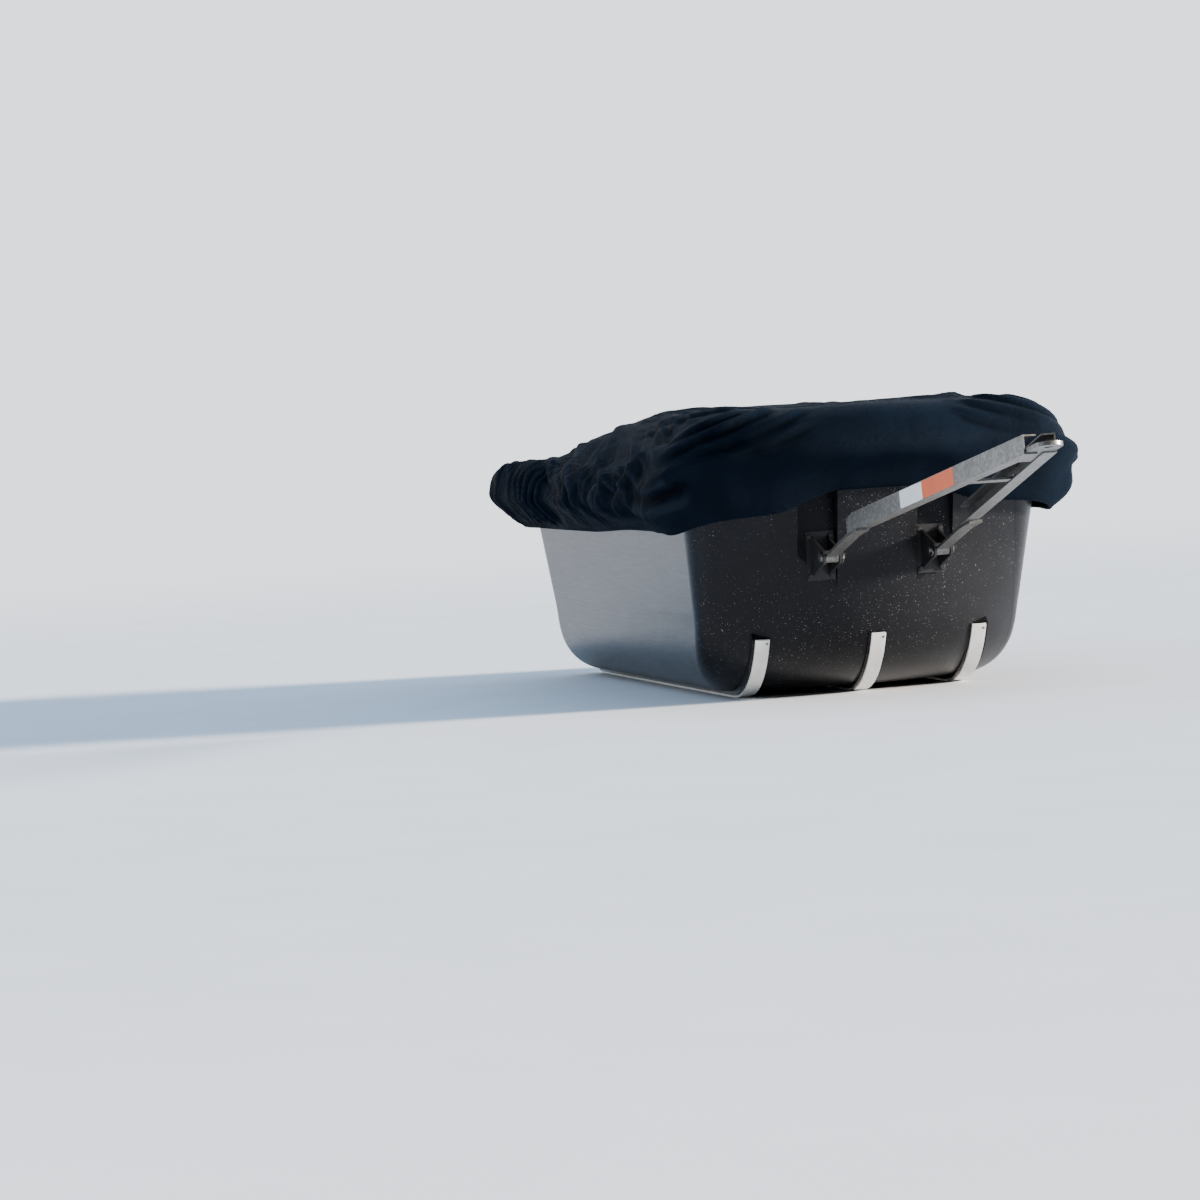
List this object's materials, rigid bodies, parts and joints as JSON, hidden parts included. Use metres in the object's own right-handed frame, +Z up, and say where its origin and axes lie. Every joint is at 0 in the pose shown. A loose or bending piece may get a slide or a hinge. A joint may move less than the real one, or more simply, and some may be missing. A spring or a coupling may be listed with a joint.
{
  "type": "utility sled",
  "caption": "Moulded plastic utility sled with white runner strips, an elastic-hemmed fabric cover and a rigid steel tow bar that pitches at the bow.",
  "frame": {"origin": "on the floor, at the sole of the centre runner under the middle of the hull", "axes": "+X towards the bow and the towing eye, +Y to port, +Z up"},
  "size_m": [3.0159, 0.992, 0.622],
  "materials": {
    "hull_plastic": "black moulded polyethylene, satin, with fine scratches and frost specks",
    "runner_plastic": "white wear-resistant polyethylene, satin",
    "black_steel": "black powder coat, satin",
    "zinc_steel": "bright zinc-plated sheet steel with rolled streaks",
    "cover_fabric": "black coated woven polyester, matt with a soft sheen"
  },
  "bodies": {
    "sled": {"hull": "hull_plastic", "runner_left": "runner_plastic", "runner_centre": "runner_plastic", "runner_right": "runner_plastic", "hitch_bracket_left": "black_steel", "hitch_bracket_right": "black_steel", "pivot_pin_left": "zinc_steel", "pivot_pin_right": "zinc_steel", "cover": "cover_fabric", "cover_hem": "cover_fabric"},
    "tow_bar": {"tow_arm_left": "zinc_steel", "tow_arm_right": "zinc_steel", "cross_brace": "zinc_steel", "tongue": "zinc_steel"}
  },
  "joints": [
    {"name": "tow_bar_pitch", "type": "hinge", "parent": "sled", "child": "tow_bar", "pos_m": [0.865, 0, 0.305], "axis": [0, -1, 0], "range_deg": [-25.5, 40]}
  ]
}
